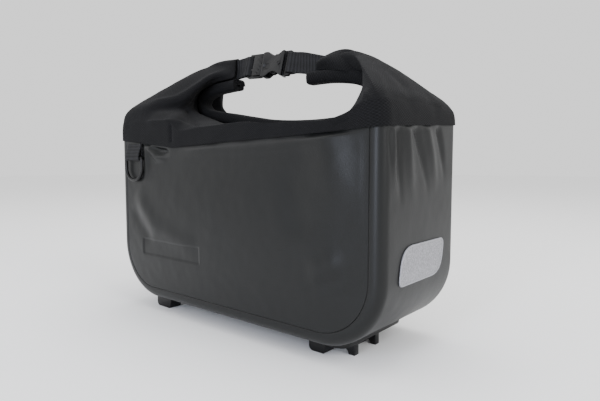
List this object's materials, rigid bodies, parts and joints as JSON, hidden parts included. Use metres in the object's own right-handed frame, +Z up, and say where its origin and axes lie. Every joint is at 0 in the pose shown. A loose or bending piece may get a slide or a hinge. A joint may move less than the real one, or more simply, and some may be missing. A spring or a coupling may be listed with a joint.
{
  "type": "bicycle_trunk_bag",
  "caption": "Black roll-top bicycle trunk bag with a buckled carrying handle, a reflective patch and a rack adapter underneath",
  "frame": {"origin": "centre of the bounding box's underside, on the plane the adapter's feet stand on", "axes": "+X along the bag to the end with the reflective patch, +Y to the back panel, +Z up"},
  "size_m": [0.3446, 0.1362, 0.2708],
  "materials": {
    "coated_fabric": "satin",
    "woven_nylon": "matte",
    "webbing": "matte",
    "black_plastic": "satin",
    "reflective_film": "satin"
  },
  "bodies": {
    "bag": {"front_panel": "coated_fabric", "back_panel": "coated_fabric", "gusset": "coated_fabric", "collar": "woven_nylon", "roll_closure": "woven_nylon", "strap_left": "webbing", "strap_right": "webbing", "ring_webbing": "webbing", "buckle_male": "black_plastic", "buckle_female": "black_plastic", "adapter_plate": "black_plastic", "latch_housing": "black_plastic", "foot_front_left": "black_plastic", "foot_back_left": "black_plastic", "foot_front_right": "black_plastic", "foot_back_right": "black_plastic", "reflective_patch": "reflective_film"},
    "ring": {"d_ring": "black_plastic"}
  },
  "joints": [
    {"name": "ring_hinge", "type": "hinge", "parent": "bag", "child": "ring", "pos_m": [-0.1385, -0.06688, 0.165], "axis": [-1, 0, 0], "range_deg": [0, 150]}
  ]
}
